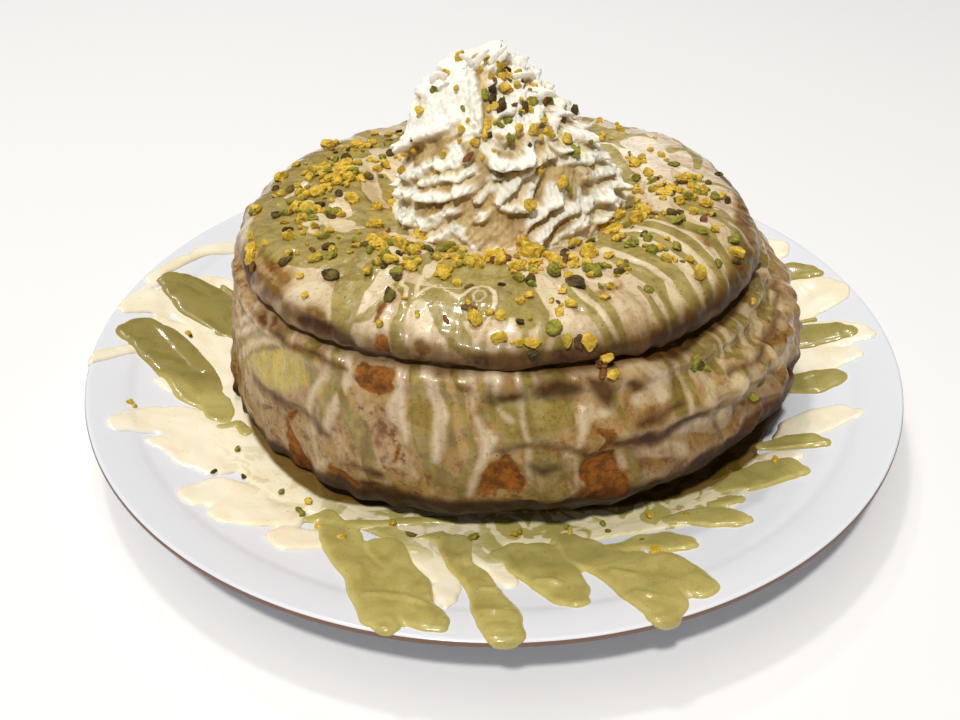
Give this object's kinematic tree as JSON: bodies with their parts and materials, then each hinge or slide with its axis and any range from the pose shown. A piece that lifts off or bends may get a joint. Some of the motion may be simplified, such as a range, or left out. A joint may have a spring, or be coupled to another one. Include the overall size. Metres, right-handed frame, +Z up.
{
  "type": "plate of glazed ring doughnut with whipped cream",
  "caption": "Large ring doughnut under glaze and pistachio sauce, whipped cream in its hole, chopped pistachios on top, on a round coupe plate.",
  "frame": {"origin": "centre of the plate's foot, on the surface that the plate stands on", "axes": "+Z up from the table through the tip of the cream, -Y towards the diner, +X to the diner's right"},
  "size_m": [0.2591, 0.2593, 0.114],
  "materials": {
    "porcelain": "glossy cool white glaze with a thin brown line round the rim",
    "glazed_dough": "browned dough under a thin wet glaze streaked with green sauce",
    "whipped_cream": "soft satin with frilled ridges",
    "cream_sauce": "wet smooth ivory",
    "pistachio_sauce": "wet smooth muted green",
    "chopped_pistachio": "dry broken faces, yellow to green with dark skins"
  },
  "bodies": {
    "root": {"plate": "porcelain", "doughnut": "glazed_dough", "whipped_cream": "whipped_cream"}
  },
  "joints": []
}
